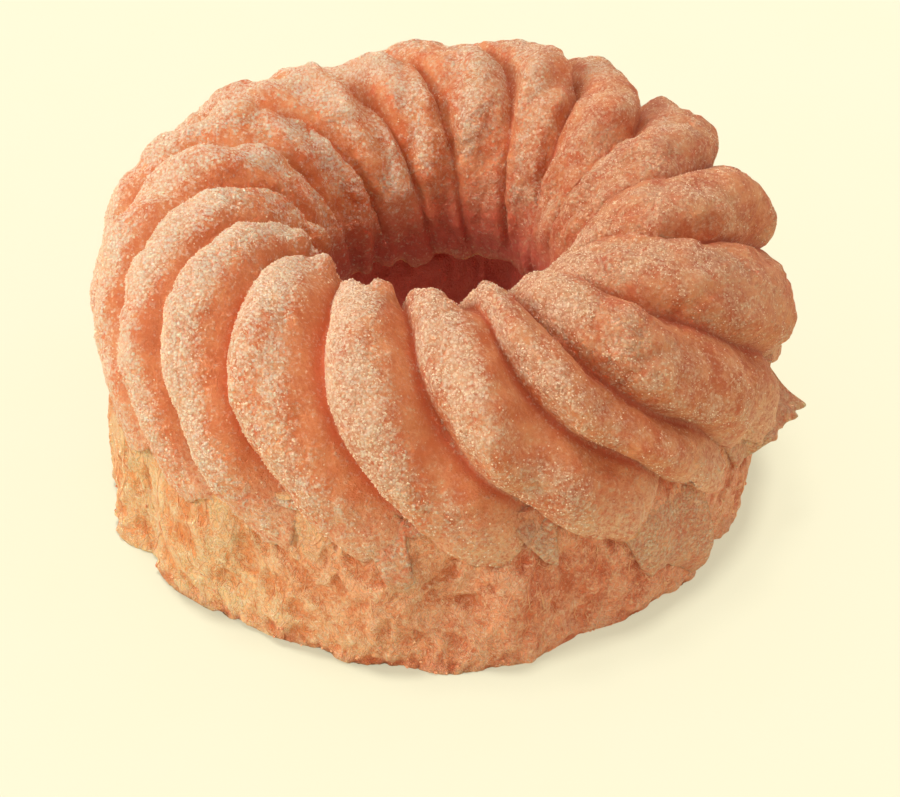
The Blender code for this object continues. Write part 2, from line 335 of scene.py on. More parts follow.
def bubbles(points, size, seed, share):
    """Round swellings in this share of the cells of this size: 1 at a swelling's middle, 0 between them."""
    scaled = points / size
    low = np.floor(scaled).astype(np.int64)
    best = np.zeros(points.shape[:-1])
    for corner in np.ndindex(3, 3, 3):
        cell = low + np.array(corner) - 1
        centre = cell + np.stack([lattice_value(cell, seed + axis) for axis in range(3)], -1)
        radius = BUBBLE_RADIUS + BUBBLE_RADIUS * lattice_value(cell, seed + 3)
        there = lattice_value(cell, seed + 4) < share
        distance = np.linalg.norm(scaled - centre, axis=-1) / radius
        best = np.maximum(best, there * np.sqrt(np.clip(1 - distance**2, 0, 1)))
    return best


def smooth(value, low, high):
    """0 at low, 1 at high, and a smooth ramp between them. Low may be the larger."""
    share = np.clip((value - low) / (high - low), 0, 1)
    return share * share * (3 - 2 * share)


# ----
# Meshes.


def grid_normals(points):
    """Outward directions of a grid of points that closes on itself both ways."""
    along = np.roll(points, -1, 0) - np.roll(points, 1, 0)
    up = np.roll(points, -1, 1) - np.roll(points, 1, 1)
    normals = np.cross(along, up)
    return normals / np.maximum(np.linalg.norm(normals, axis=-1, keepdims=True), 1e-12)


def in_scene(name, data):
    """An object that holds this data, put in the scene."""
    holder = bpy.data.objects.new(name, data)
    bpy.context.scene.collection.objects.link(holder)
    return holder


def mesh_of(name, vertices, faces, material, attributes=None):
    """A smooth-shaded mesh object. Its attributes have a value for each vertex."""
    mesh = bpy.data.meshes.new(name)
    corners = faces.shape[1]
    mesh.vertices.add(len(vertices))
    mesh.vertices.foreach_set("co", vertices.astype(np.float32).ravel())
    mesh.loops.add(faces.size)
    mesh.loops.foreach_set("vertex_index", faces.astype(np.int32).ravel())
    mesh.polygons.add(len(faces))
    mesh.polygons.foreach_set("loop_start", np.arange(0, faces.size, corners, dtype=np.int32))
    mesh.update(calc_edges=True)
    mesh.validate()
    mesh.shade_smooth()
    for key, values in (attributes or {}).items():
        attribute = mesh.attributes.new(key, "FLOAT", "POINT")
        attribute.data.foreach_set("value", np.asarray(values, np.float32).ravel())
    mesh.materials.append(material)
    return in_scene(name, mesh)


def ring_mesh(name, points, material, attributes):
    """A grid of points, closed both ways round the ring, as a mesh of four-sided faces."""
    columns, rows, _ = points.shape
    column, row = np.meshgrid(np.arange(columns), np.arange(rows), indexing="ij")
    here = column * rows
    beside = (column + 1) % columns * rows
    above = (row + 1) % rows
    faces = np.stack([here + row, beside + row, beside + above, here + above], -1)
    return mesh_of(name, points.reshape(-1, 3), faces.reshape(-1, 4), material, attributes)


# ----
# The dough: the ridged crust, and the burst dough that it sits on.

LIP_EDGE = 0.0002  # half the thickness of a lip's edge
LIP_RETURN = 0.0022  # how far the lip's underside runs back under it
LIP_CURL = 0.0002  # how far the lip's edge bends outwards
LIP_CURL_LENGTH = 0.0022
LIP_RAGGEDNESS = 0.0011
INNER_LIP_RAGGEDNESS = 0.0014
LIP_TEAR = 0.0030  # size of the lips' tears
TUCK = 0.0005  # how far the burst dough's top lies behind the lips
SKIRT_TOP_HEIGHT = 0.0225
INNER_SKIRT_TOP_HEIGHT = 0.0225
CORE_RADIUS = TOP_RADIUS

# The crust's relief: heights, how much lower they are where the ridges gape, and sizes.
SWELLS = (0.00062, 0.00034, 0.0056)
BLISTERS = (0.00070, 0.00036, 0.0044)
BLISTER_SHARE = 0.40  # of the places for one that have it
LUMPS = (0.00026, 0.00006, 0.0020)
LUMP_SHARE = 0.45
CLUMPS = (0.00022, 0.0009)  # of sugar: height and size
RELIEF_SINK = 0.00010  # keeps the relief's mean near the dough's form
PORES = (0.00035, 0.0011)  # depth and size
PORE_SPOTS = ((300, 0.62), (306, 0.30), (318, 0.45), (24, 0.5), (140, 0.4))  # (bearing, step)
PORE_SPREAD = (9, 0.22)  # of a spot's pores, in degrees and in steps

# The crust's looks.
SHADED_BEARING = 345  # the ring's side painted darker and redder as shade, away from the key light
SUGAR_AND_KEY_LIGHT_SIDE = (-0.55, -0.15, 0.82)  # the side that the sugar and the key light come from
FROST_HUMPS = ((190, 0.16, 38), (95, 0.09, 40))  # (bearing, size, half width in degrees)
FROST_PATCH = 0.0040
RUBBED_PATCH = 0.0075
TOAST_AND_SHADE_STEPS = (0.60, 1.12)  # down into the hole, toasted and painted darker as shade
FILM_STEPS = (0.98, 1.22)  # the lips' thin pale edges on the outer side
INNER_FILM_STEPS = (1.10, 1.19)

# The burst dough's relief: heights and sizes.
TEARS = (0.00040, (0.0038, 0.0038, 0.0056))
FIBRES = (0.00026, (0.0008, 0.0008, 0.0020))
HOLES = (0.00060, 0.0026)
HOLE_SHARE = 0.45
FOOT_LUMPS = (0.00060, 0.0022)
FOOT_CRUMBS = (0.00030, 0.0013)
FOOT_TOP = 0.0055  # the crumbly foot begins at this height, and is whole at the next
FOOT_BOTTOM = 0.0008
SLANT = 0.45  # how far the tears lean, as a share of the height
FOOT_LIFT = 0.0004  # how far the foot's edge rises off the table here and there
INSIDE_RADII = (0.027, 0.022)  # the burst dough is the hole's wall inside these


def crust_grid():
    """Points, steps, crests and places across of the crust, from the outer lip to the inner one."""
    place = (np.arange(CRUST_COLUMNS) * RIDGES / CRUST_COLUMNS)[:, None]
    share = np.linspace(0, 1, CRUST_ROWS + 1)[None, :]
    points, step, crest = swirl(place, share)
    across = np.broadcast_to(place % 1, step.shape)
    return points, step, crest, across


def outward_of(points):
    """The level direction away from the ring's axis at each point."""
    return points * [1, 1, 0] / np.linalg.norm(points[..., :2], axis=-1, keepdims=True)


def ragged_lips(points):
    """Moves the lips' edges up and down unevenly, and curls the outer one outwards."""
    outer, inner = points[:, :1], points[:, -1:]
    near_outer = np.exp(-((np.linalg.norm(points - outer, axis=-1) / LIP_CURL_LENGTH) ** 2))
    near_inner = np.exp(-((np.linalg.norm(points - inner, axis=-1) / LIP_CURL_LENGTH) ** 2))
    torn = LIP_RAGGEDNESS * fractal(outer * [1, 1, 0], LIP_TEAR, 41, 4)
    torn_inner = INNER_LIP_RAGGEDNESS * fractal(inner * [1, 1, 0], LIP_TEAR, 50, 4)
    moved = points + near_outer[..., None] * LIP_CURL * outward_of(points)
    moved[..., 2] += near_outer * torn + near_inner * torn_inner
    return moved


def crust_relief(grid, crown, gape, pores):
    """The crust's unevenness: slow swells, blisters on the ridges, lumps, clumped sugar and open pores."""
    swell_height, blister_height, lump_height = (
        height - fall * gape for height, fall, _ in (SWELLS, BLISTERS, LUMPS)
    )
    swells = swell_height * fractal(grid, SWELLS[2], 21)
    blisters = blister_height * crown * bubbles(grid, BLISTERS[2], 24, BLISTER_SHARE)
    lumps = lump_height * bubbles(grid, LUMPS[2], 25, LUMP_SHARE)
    clumps = CLUMPS[0] * fractal(grid, CLUMPS[1], 26, 2)
    relief = swells + blisters + lumps * (0.25 + 0.75 * crown) + clumps * (0.4 + 0.6 * crown)
    return relief - RELIEF_SINK - PORES[0] * pores * smooth(noise(grid, PORES[1], 29), 0.30, 0.70)


def lip_undersides(points):
    """Rows that close the crust behind its lips, from the inner one to the outer one."""
    up = np.array([0, 0, 1])
    outer, inner = points[:, :1], points[:, -1:]
    outer_out = outward_of(outer)
    inner_out = outward_of(inner)
    return [
        inner + LIP_EDGE * (inner_out - up),
        inner + LIP_RETURN * inner_out + LIP_EDGE * up,
        outer - LIP_RETURN * outer_out + LIP_EDGE * up,
        outer - LIP_EDGE * (outer_out + up),
    ]


def crust_looks(grid, step, crest, across, key_light_facing, bearing, shown):
    """From 0 to 1 at each point: how frosted, toasted or bare the crust is, with painted light and shade."""
    # The sugar clings to the ridges' crests and steeper edges, and thins out on their flanks. Part of this
    # is
    # painted light and shade: the frost is denser on faces turned towards the key light and on the ring's
    # side towards it, and the bare flanks away from it are painted darker as shade.
    gape = openness(bearing)
    patches = fractal(grid, FROST_PATCH, 51, 4)
    rubbed = smooth(fractal(grid, RUBBED_PATCH, 55), 0.05, 0.45)
    line = across + 0.11 * patches
    bare = smooth(line, 0.66 - 0.20 * gape, 0.92 - 0.10 * gape) * (0.62 + 0.36 * gape)
    # Redder and darker down in the hole: part toasting, part painted shade.
    depth = smooth(-step, *TOAST_AND_SHADE_STEPS)
    # Groove floors: bare of sugar and darker, the darkening partly painted shade.
    cleft = 1 - smooth(crest, 0.02, 0.34)
    cleft = cleft * smooth(step, -0.95, -0.60) * smooth(step, 1.20, 1.00) * shown
    film = smooth(step, *FILM_STEPS)
    frost = (0.37 + 0.52 * smooth(key_light_facing, 0.10, 0.95)) * (0.62 + 0.38 * gape) * (1 - bare)
    frost = frost + lobes(bearing, FROST_HUMPS) * (1 - bare)
    frost = np.clip(frost + 0.40 * patches * (1 - 0.7 * bare), 0, 1) * (1 - 0.45 * rubbed)
    frost = frost * (1 - depth) ** 1.5 * (1 - 0.45 * film) * (1 - 0.9 * cleft)
    # Pale left edges of the ridges on the key light's side: painted highlight.
    film = np.maximum(film, 0.8 * gape * smooth(step, 0.55, 0.95) * smooth(across, 0.16, 0.02))
    film = np.maximum(film, 0.22 * smooth(-step, *INNER_FILM_STEPS))
    return {
        "frost": frost,
        "toast_and_shade": depth,
        "film": film,
        "bare_flank_shade": bare * gape,
        "cleft": cleft,
        "far_side_shade": far_side_shade(bearing),
    }


def make_crust(material):
    """The ridged crust, and the points and the frosting that the sugar's grains are scattered by."""
    points, step, crest, across = crust_grid()
    points = ragged_lips(points)
    hidden = lip_undersides(points)
    grid = np.concatenate([points, *hidden], 1)
    padding = ((0, 0), (0, len(hidden)))
    shown = np.pad(np.ones(step.shape), padding)
    step, crest, across = (np.pad(values, padding) for values in (step, crest, across))
    bearing = np.arctan2(grid[..., 1], grid[..., 0])
    normals = grid_normals(grid)
    # How far each face turns towards the sugar's and the key light's side; frost that follows it is partly
    # painted light.
    key_light_facing = normals @ (np.array(SUGAR_AND_KEY_LIGHT_SIDE) / np.linalg.norm(SUGAR_AND_KEY_LIGHT_SIDE))

    width, steps = PORE_SPREAD
    pores = sum(
        hump(bearing, spot, width) * np.exp(-(((step - level) / steps) ** 2)) for spot, level in PORE_SPOTS
    )
    relief = crust_relief(grid, smooth(crest, 0.30, 0.80), openness(bearing), pores) * shown
    grid = grid + relief[..., None] * normals

    looks = crust_looks(grid, step, crest, across, key_light_facing, bearing, shown)
    grid = grid - [*MIDDLE, 0]
    return ring_mesh("crust", grid, material, looks), grid, looks["frost"] * shown


def make_burst_dough(material):
    """The burst dough with its sole and the hole's lower wall, and the points of its outer side."""
    bearing = (np.arange(SKIRT_COLUMNS) * TAU / SKIRT_COLUMNS)[:, None]
    outer = skirt(bearing, np.linspace(0, 1, SKIRT_ROWS + 1)[None, :], 1)
    inner = skirt(bearing, np.linspace(1, 0, INNER_ROWS + 1)[None, :], -1)
    core = ring_points(CORE_RADIUS + 0 * bearing, bearing, SKIRT_TOP_HEIGHT + 0 * bearing)
    share = (np.arange(1, SOLE_ROWS) / SOLE_ROWS)[None, :, None]
    sole = inner[:, -1:] + (outer[:, :1] - inner[:, -1:]) * share
    grid = np.concatenate([outer, core, inner, sole], 1)
    height = grid[..., 2]
    radius = np.hypot(grid[..., 0], grid[..., 1])

    side = np.zeros(grid.shape[:2])
    side[:, : SKIRT_ROWS + 1] = 1
    side[:, SKIRT_ROWS + 2 : SKIRT_ROWS + 3 + INNER_ROWS] = 1
    foot = smooth(height, FOOT_TOP, FOOT_BOTTOM)
    slanted = grid + height[..., None] * SLANT * noise(grid, 0.008, 61)[..., None] * [1, -1, 0]
    relief = TEARS[0] * fractal(slanted, TEARS[1], 34) + FIBRES[0] * fractal(slanted, FIBRES[1], 31)
    holes = HOLES[0] * bubbles(slanted * [1, 1, 0.7], HOLES[1], 36, HOLE_SHARE)
    relief = relief - holes * (1 - 0.6 * foot)
    relief = relief + foot * FOOT_LUMPS[0] * fractal(grid, FOOT_LUMPS[1], 41, 4)
    relief = relief + foot * FOOT_CRUMBS[0] * bubbles(grid, FOOT_CRUMBS[1], 47, 0.6)
    grid = grid + (relief * side)[..., None] * grid_normals(grid)
    grid[..., 2] = np.maximum(grid[..., 2], 0)
    edge = side * smooth(height, FOOT_BOTTOM, 0)
    grid[..., 2] += edge * FOOT_LIFT * smooth(noise(grid * [1, 1, 0], 0.0042, 71), 0.0, 0.8)

    # Paler dough on the key light's side: painted light, with random tone.
    lit_golden = np.clip(openness(bearing) ** 5.5 + 0.22 * fractal(grid, 0.0070, 81), 0, 1)
    # The foot is browner. Sunken parts of the relief are painted darker as shade, and the dough is darker
    # towards the bottom.
    toast_and_shade = foot * (0.36 + 0.50 * fractal(grid, 0.0030, 84)) + 0.15 * smooth(-relief, 0.0001, 0.0006)
    toast_and_shade = toast_and_shade + 0.20 * smooth(height, 0.0026, 0.0006)
    inside = smooth(radius, *INSIDE_RADII)
    attributes = {
        "raised": 0.5 + relief / 0.0010,
        "lit_golden": lit_golden * (1 - inside),
        "toast_and_shade": toast_and_shade,
        "inside": inside,
    }
    grid = grid - [*MIDDLE, 0]
    return ring_mesh("burst_dough", grid, material, attributes), grid[:, : SKIRT_ROWS + 1]


# ----
# Small things: flaps of crust on the burst dough, its torn strands, crumbs at the foot, and the sugar.

# The torn lower edge of the crust: (place round the ring in degrees, the edge's height there, how far it
# stands out from the burst dough). Heights above the ridges' own ends are hidden behind them.
HIDDEN = 0.0205
FLAP_EDGE = (
    (6, HIDDEN, 0.0), (12, 0.0150, 0.0004), (19, 0.0085, 0.0003), (24, 0.0110, 0.0003),
    (27, HIDDEN, 0.0), (55, HIDDEN, 0.0), (60, 0.0120, 0.0004), (66, 0.0085, 0.0006),
    (70, 0.0130, 0.0004), (73, HIDDEN, 0.0), (108, HIDDEN, 0.0), (113, 0.0130, 0.0002),
    (117, 0.0070, 0.0004), (119, HIDDEN, 0.0), (140, HIDDEN, 0.0), (147, 0.0120, 0.0003),
    (152, HIDDEN, 0.0), (259, HIDDEN, 0.0), (260.5, 0.0142, 0.0001), (263, 0.0132, 0.0001),
    (265, 0.0140, 0.0001), (266.5, HIDDEN, 0.0), (284, HIDDEN, 0.0), (287, 0.0150, 0.0001),
    (289, 0.0138, 0.0001), (292, HIDDEN, 0.0), (300, 0.0165, 0.0000), (301.8, 0.0140, 0.0002),
    (302.6, 0.0084, 0.0003), (304, 0.0066, 0.0003), (308.5, 0.0068, 0.0003),
    (313.4, 0.0018, 0.0006), (317, 0.0036, 0.0014), (318.6, 0.0060, 0.0014),
    (319.6, 0.0140, 0.0006), (321, HIDDEN, 0.0), (328, HIDDEN, 0.0), (331, 0.0135, 0.0003),
    (335, 0.0124, 0.0003), (337, 0.0156, 0.0030), (341, 0.0156, 0.0056), (345, 0.0160, 0.0060),
    (348, 0.0166, 0.0050), (350, HIDDEN, 0.0010),
)
FLAP_TOP = 0.0222
FLAP_FOOT = 0.0004  # the least height of the edge
FLAP_THICKNESS = 0.0004
FLAP_PUFF = 0.0006
FLAP_TUCK = 0.0016  # how far its top lies inside the burst dough
FLAP_CREASES = 0.00035
FLAP_COLUMNS = 1080
FLAP_ROWS = 26
FLAP_TURN = 500  # degrees that it turns for each metre down, as the ridges above it do
FLAP_PLACES_DROP = 0.009  # the table's places round the ring hold this far below the widest line
FLAP_RAGGEDNESS = 0.0011

STRANDS = 420
STRAND_LENGTHS = (0.0015, 0.0045)
STRAND_WIDTHS = (0.00004, 0.00008)
STRAND_STEPS = 9
STRAND_SLANT = 0.35  # how far they lean and bend, usually, in radians
STRAND_BEND = 0.6
STRAND_GAP = 0.00002  # between a strand's middle and the dough
STRAND_RISES = (0.0, 0.00008)
STRAND_CORNERS = (90, 210, 330)  # of its section

CRUMBS = 240
CRUMB_SIZES = (0.00010, 0.00028)
CRUMB_ROW = 6.0  # how high up the burst dough's rows the crumbs stick, on average

SUGAR_GRAINS = 24000
GRAIN_SIZES = (0.00007, 0.00015)
GRAIN_CORNERS = ((1, 0, 0), (-1, 0, 0), (0, 1, 0), (0, -1, 0), (0, 0, 1), (0, 0, -1))
GRAIN_FACES = ((0, 2, 4), (2, 1, 4), (1, 3, 4), (3, 0, 4), (2, 0, 5), (1, 2, 5), (3, 1, 5), (0, 3, 5))


def on_skirt(bearing, height):
    """Points on the outer burst dough, without its relief."""
    return skirt(bearing, height / SKIRT_TOP_HEIGHT, 1)


def make_flaps(material):
    """The crust's torn lower edge, hanging from the lips over the burst dough: one thin closed sheet."""
    place = (np.arange(FLAP_COLUMNS) * 360 / FLAP_COLUMNS)[:, None]
    down = np.linspace(0, 1, FLAP_ROWS)[None, :]
    places, edges, lifts = np.array(FLAP_EDGE).T
    around = ring_points(OUTER_RADIUS, np.radians(place), 0)
    edge = np.interp(place, places, edges, period=360) + FLAP_RAGGEDNESS * fractal(around, 0.0030, 91, 4)
    lift = np.interp(place, places, lifts, period=360) * (1 + 0.6 * fractal(around, 0.0024, 93, 2))
    level = FLAP_TOP + (np.maximum(edge, FLAP_FOOT) - FLAP_TOP) * down
    bearing = np.radians(place + FLAP_TURN * (EQUATOR_HEIGHT - level - FLAP_PLACES_DROP))
    base = on_skirt(bearing, level)
    creases = FLAP_CREASES * fractal(base * [1, 1, 0.6], 0.0020, 95, 4)
    puff = FLAP_PUFF * np.sqrt(1 - down**6) * smooth(down, 0, 0.3) + lift * down**2.5
    puff = puff - FLAP_TUCK * (1 - down) ** 3
    front = base + (puff + creases)[..., None] * outward_of(base)
    back = front - (FLAP_THICKNESS * np.sqrt(1 - 0.995 * down**8))[..., None] * outward_of(base)
    grid = np.concatenate([front, back[:, ::-1]], 1) - [*MIDDLE, 0]
    grid[..., 2] = np.maximum(grid[..., 2], 0)
    turned = np.arctan2(grid[..., 1], grid[..., 0])
    attributes = {
        "frost": 0.34 + 0.35 * fractal(grid, 0.0030, 97),
        # The flap's back, turned to the burst dough, is darker: painted shade.
        "toast_and_shade": np.broadcast_to(np.repeat([0.15, 0.9], FLAP_ROWS), turned.shape),
        "film": 0.45 + 0.40 * fractal(grid, 0.0050, 98, 2),
        "bare_flank_shade": 0 * turned,
        "cleft": 0 * turned,
        "far_side_shade": far_side_shade(turned),
    }
    return ring_mesh("flaps", grid, material, attributes)


def on_grid(points, column, row):
    """Points between the nodes of a grid that closes on itself along its columns."""
    low_column = np.floor(column).astype(int)
    low_row = np.clip(np.floor(row).astype(int), 0, points.shape[1] - 2)
    a = (column - low_column)[..., None]
    b = (row - low_row)[..., None]
    here = low_column % points.shape[0]
    beside = (low_column + 1) % points.shape[0]
    low = points[here, low_row] * (1 - a) + points[beside, low_row] * a
    high = points[here, low_row + 1] * (1 - a) + points[beside, low_row + 1] * a
    return low * (1 - b) + high * b


def make_strands(surface, material):
    """Thin strands of dough that tore and lie on the burst side, from the lips downwards."""
    random = np.random.default_rng(19)
    length = random.uniform(*STRAND_LENGTHS, (STRANDS, 1))
    slant = random.normal(0, STRAND_SLANT, (STRANDS, 1))
    bend = random.normal(0, STRAND_BEND, (STRANDS, 1))
    along = np.linspace(0, 1, STRAND_STEPS + 1)[None, :]
    turn = slant + bend * (along - 0.5)
    sideways = np.cumsum(np.sin(turn), 1) * length / STRAND_STEPS
    downwards = np.cumsum(np.cos(turn), 1) * length / STRAND_STEPS
    column = random.uniform(0, SKIRT_COLUMNS, (STRANDS, 1)) + sideways * SKIRT_COLUMNS / (TAU * FOOT_RADIUS)
    start = SKIRT_TOP_HEIGHT * random.uniform(0.15, 0.92, (STRANDS, 1))
    row = np.clip((start - downwards) / SKIRT_TOP_HEIGHT * SKIRT_ROWS, 0.5, SKIRT_ROWS - 0.5)
    middle = on_grid(surface, column, row)
    outward = outward_of(middle)
    rise = random.uniform(*STRAND_RISES, (STRANDS, 1)) * np.sin(math.pi * along)
    middle = middle + (rise[..., None] + STRAND_GAP) * outward
    tangent = np.gradient(middle, axis=1)
    tangent /= np.linalg.norm(tangent, axis=-1, keepdims=True)
    beside = np.cross(tangent, outward)
    width = random.uniform(*STRAND_WIDTHS, (STRANDS, 1)) * (0.25 + 0.75 * np.sin(math.pi * along))
    corners = [
        middle + width[..., None] * (math.cos(angle) * beside + math.sin(angle) * outward)
        for angle in map(math.radians, STRAND_CORNERS)
    ]
    vertices = np.stack(corners, 2)
    sides = len(STRAND_CORNERS)
    strand, step, side = np.indices((STRANDS, STRAND_STEPS, sides))
    first = (strand * (STRAND_STEPS + 1) + step) * sides
    other = (side + 1) % sides
    faces = np.stack([first + side, first + other, first + sides + other, first + sides + side], -1)
    return mesh_of("torn_strands", vertices.reshape(-1, 3), faces.reshape(-1, 4), material)


def make_crumbs(surface, material):
    """Crumbs of the torn dough, stuck along the foot."""
    random = np.random.default_rng(23)
    ball = bmesh.new()
    bmesh.ops.create_icosphere(ball, subdivisions=2, radius=1)
    shape = np.array([vertex.co for vertex in ball.verts])
    faces = np.array([[vertex.index for vertex in face.verts] for face in ball.faces])
    ball.free()
    column = random.uniform(0, SKIRT_COLUMNS, CRUMBS)
    row = random.exponential(CRUMB_ROW, CRUMBS).clip(0.8, SKIRT_ROWS - 1)
    centre = on_grid(surface, column, row)
    size = random.uniform(*CRUMB_SIZES, (CRUMBS, 1, 1)) * random.uniform(0.5, 1.4, (CRUMBS, 1, 3))
    crumbs = (shape * size) @ turns(CRUMBS, random)
    uneven = 1 + 0.5 * fractal(crumbs + centre[:, None], 0.0004, 101, 2)
    crumbs = crumbs * uneven[..., None] + centre[:, None]
    crumbs[..., 2] = np.maximum(crumbs[..., 2], 0)
    every_face = faces[None] + len(shape) * np.arange(CRUMBS)[:, None, None]
    return mesh_of("crumbs", crumbs.reshape(-1, 3), every_face.reshape(-1, 3), material)


def scatter(points, weight, count, random):
    """Random places on a closed grid, as many as weight and area call for: positions and directions."""
    normals = grid_normals(points)
    along = np.linalg.norm(np.roll(points, -1, 0) - points, axis=-1)
    up = np.linalg.norm(np.roll(points, -1, 1) - points, axis=-1)
    chance = np.clip(weight, 0, None) * along * up
    picked = random.choice(chance.size, count, p=(chance / chance.sum()).ravel())
    column, row = np.divmod(picked, points.shape[1])
    beside = (column + 1) % points.shape[0]
    above = (row + 1) % points.shape[1]
    a, b = random.random((2, count, 1))
    low = points[column, row] * (1 - a) + points[beside, row] * a
    high = points[column, above] * (1 - a) + points[beside, above] * a
    return low * (1 - b) + high * b, normals[column, row]


def turns(count, random):
    """Random rotations, as matrices."""
    w, x, y, z = random.standard_normal((4, count))
    length = np.sqrt(w * w + x * x + y * y + z * z)
    w, x, y, z = w / length, x / length, y / length, z / length
    rows = [
        [1 - 2 * (y * y + z * z), 2 * (x * y - w * z), 2 * (x * z + w * y)],
        [2 * (x * y + w * z), 1 - 2 * (x * x + z * z), 2 * (y * z - w * x)],
        [2 * (x * z - w * y), 2 * (y * z + w * x), 1 - 2 * (x * x + y * y)],
    ]
    return np.moveaxis(np.array(rows), -1, 0)


def make_sugar(surface, frost, material):
    """Grains of sugar, as eight-sided crystals, thickest where the crust is most frosted."""
    random = np.random.default_rng(7)
    places, normals = scatter(surface, frost**1.6, SUGAR_GRAINS, random)
    corners = np.array(GRAIN_CORNERS, float)
    faces = np.array(GRAIN_FACES)
    size = random.uniform(*GRAIN_SIZES, (SUGAR_GRAINS, 1, 1))
    size = size * random.uniform(0.65, 1.25, (SUGAR_GRAINS, len(corners), 1))
    size = size * (0.75 + 0.35 * openness(np.arctan2(places[:, 1], places[:, 0])))[:, None, None]
    grains = (corners * size) @ turns(SUGAR_GRAINS, random)
    grains += (places + normals * GRAIN_SIZES[0] * 0.3)[:, None]
    every_face = faces[None] + len(corners) * np.arange(SUGAR_GRAINS)[:, None, None]
    sugar = mesh_of("sugar", grains.reshape(-1, 3), every_face.reshape(-1, 3), material)
    sugar.data.shade_flat()
    return sugar


# ----
# Materials.


# Colours, by their screen values. A pair is a dark tone and a light one, unless it says otherwise.
PLAIN_CRUST = ((224, 108, 46), (238, 152, 88))
SHADED_SIDE_CRUST = ((194, 94, 48), (222, 142, 88))
# Bare flanks away from the key light, darker as painted shade.
SHADED_FLANK_CRUST = ((206, 108, 54), (224, 134, 78))
CLEFTS = ((222, 104, 46), (190, 84, 46))  # palest side of the ring, and reddest; both partly painted shade
# Reddened crust deep in the hole: part toasting, part painted shade.
TOAST_AND_SHADE_CRUST = (188, 80, 58)
FILM = (238, 190, 146)
SUGAR = ((244, 198, 154), (255, 242, 214))
SHADED_SIDE_SUGAR = ((206, 140, 98), (240, 198, 156))
# The dough on the key light's side is paler, partly as painted light.
DOUGH_PITS = ((214, 104, 58), (244, 150, 78))  # of plain dough, and of the key light's side, as the next two
MIDDLING_DOUGH = ((244, 152, 104), (255, 198, 136))
PALE_DOUGH = ((255, 194, 150), (255, 222, 172))
BROWN_AND_SHADED_DOUGH = (222, 114, 66)
# The hole's lower wall, redder and darker: partly painted shade.
INNER_DOUGH = (214, 90, 72)
STRAND_TONES = ((238, 150, 96), (255, 200, 144))
CRUMB_TONES = ((214, 124, 80), (244, 184, 130))
GRAIN_TONES = ((236, 186, 140), (252, 228, 192))
FLOOR_TONES = ((255, 251, 214), (255, 251, 218))
FLOOR_GLOW_TONES = ((255, 248, 211), (255, 248, 214))

GRAIN_SPACING = 0.00036  # of the sugar too fine for grains of its own
SUGAR_LEVEL = -1.59  # lower leaves more of the crust bare
CRUST_BUMP = (0.00036, 0.95)  # distance and strength
CRUST_DEPTHS = (0.0014, (1.0, 0.42, 0.20))  # how deep red light goes, and each colour's share of that
DOUGH_BUMP = (0.00032, 1.0)
DOUGH_DEPTHS = (0.0012, (1.0, 0.50, 0.22))
CRUMB_BUMP = (0.00020, 0.9)
UNDER_SURFACE = 0.30  # the share of light that goes into the dough


def material_of(name):
    """A node material: its tree and its Principled shader."""
    material = bpy.data.materials.new(name)
    material.use_nodes = True
    return material, material.node_tree, material.node_tree.nodes["Principled BSDF"]


def add(tree, kind, inputs=None, **settings):
    """A node of this kind. Inputs map a socket's name or number to a value, or to another node's output."""
    node = tree.nodes.new(kind)
    for key, value in settings.items():
        setattr(node, key, value)
    for key, value in (inputs or {}).items():
        if isinstance(value, bpy.types.NodeSocket):
            tree.links.new(value, node.inputs[key])
        else:
            node.inputs[key].default_value = value
    return node


def maths(tree, operation, *values):
    return add(tree, "ShaderNodeMath", dict(enumerate(values)), operation=operation).outputs[0]


def vector_maths(tree, operation, *values):
    return add(tree, "ShaderNodeVectorMath", dict(enumerate(values)), operation=operation).outputs[0]


def ramp(tree, value, low, high):
    """Value taken from low..high to 0..1, smoothly."""
    inputs = {"Value": value, "From Min": low, "From Max": high}
    return add(tree, "ShaderNodeMapRange", inputs, interpolation_type="SMOOTHSTEP").outputs[0]


def linear_colour(screen_values):
    """Blender's linear colour for screen values from 0 to 255."""
    shares = np.array(screen_values) / 255
    linear = np.where(shares <= 0.04045, shares / 12.92, ((shares + 0.055) / 1.055) ** 2.4)
    return (*linear.tolist(), 1.0)


def blend(tree, share, low, high):
    """A colour between two, by share. Each is another node's output or a tuple of screen values."""
    colours = [linear_colour(value) if isinstance(value, tuple) else value for value in (low, high)]
    inputs = {0: share, 6: colours[0], 7: colours[1]}
    return add(tree, "ShaderNodeMix", inputs, data_type="RGBA").outputs[2]


def own_place(tree):
    """Coordinates in metres in the object's own space."""
    return add(tree, "ShaderNodeTexCoord").outputs["Object"]


def noise_node(tree, where, size, detail, roughness=0.55):
    inputs = {"Vector": where, "Scale": 1 / size, "Detail": detail, "Roughness": roughness}
    return add(tree, "ShaderNodeTexNoise", inputs).outputs["Fac"]


def mixed(tree, *parts):
    """The sum of (value, factor) parts and of plain numbers."""
    total = 0.0
    for part in parts:
        value, factor = part if isinstance(part, tuple) else (part, 1.0)
        total = maths(tree, "MULTIPLY_ADD", value, factor, total)
    return total


def attributes_of(tree, *names):
    """Values that the mesh holds at its vertices."""
    return [add(tree, "ShaderNodeAttribute", attribute_name=name).outputs["Fac"] for name in names]


def wandering(tree, where, size, reach):
    """Coordinates moved about by up to this reach, in swirls of this size."""
    inputs = {"Vector": where, "Scale": 1 / size, "Detail": 2.0}
    swirls = add(tree, "ShaderNodeTexNoise", inputs).outputs["Color"]
    return vector_maths(tree, "MULTIPLY_ADD", swirls, (2 * reach,) * 3, where)


def set_surface(tree, shader, colour, tone, tone_share, least_roughness):
    """The shader's colour, and a roughness that follows a tone."""
    tree.links.new(colour, shader.inputs["Base Color"])
    tree.links.new(mixed(tree, (tone, tone_share), least_roughness), shader.inputs["Roughness"])


